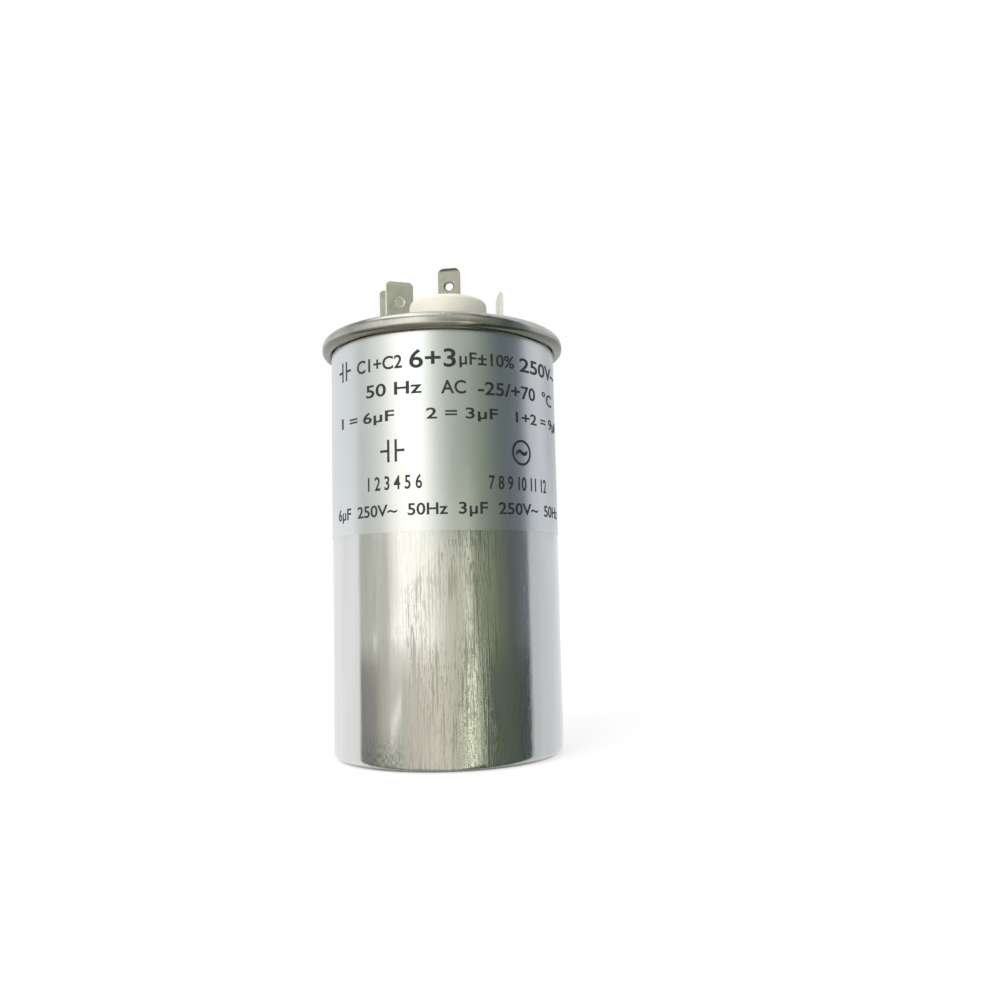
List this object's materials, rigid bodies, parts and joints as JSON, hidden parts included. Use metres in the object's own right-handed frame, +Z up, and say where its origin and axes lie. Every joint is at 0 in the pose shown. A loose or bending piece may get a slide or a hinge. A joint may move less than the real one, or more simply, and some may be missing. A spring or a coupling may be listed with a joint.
{
  "type": "motor run capacitor",
  "caption": "Cylindrical aluminium-can motor run capacitor with a double-seamed lid, white insulating bushings and upright quick-connect tabs.",
  "frame": {"origin": "middle of the can's flat base", "axes": "+Z up along the can's axis, -Y towards the viewer of the picture, +X to the viewer's right"},
  "size_m": [0.0542, 0.0542, 0.1068],
  "materials": {
    "can_aluminium": "drawn, bright with fine vertical draw lines",
    "lid_aluminium": "satin, rubbed at the rolled rim",
    "label_film": "satin silver film with dark print",
    "bushing_plastic": "semi-matt moulded ivory plastic",
    "gasket_rubber": "matt black rubber",
    "washer_fibre": "matt pressed fibre",
    "tinned_brass": "satin tinned brass",
    "rivet_brass": "tinned, with a smooth upset head"
  },
  "bodies": {
    "root": {"can": "can_aluminium", "lid": "lid_aluminium", "label": "label_film", "bushing_front": "bushing_plastic", "bushing_left": "bushing_plastic", "bushing_right": "bushing_plastic", "gasket_front": "gasket_rubber", "gasket_left": "gasket_rubber", "gasket_right": "gasket_rubber", "washer_front": "washer_fibre", "washer_left": "washer_fibre", "washer_right": "washer_fibre", "terminal_front": "tinned_brass", "terminal_left": "tinned_brass", "terminal_right": "tinned_brass", "rivet_left": "rivet_brass", "rivet_right": "rivet_brass"}
  },
  "joints": []
}
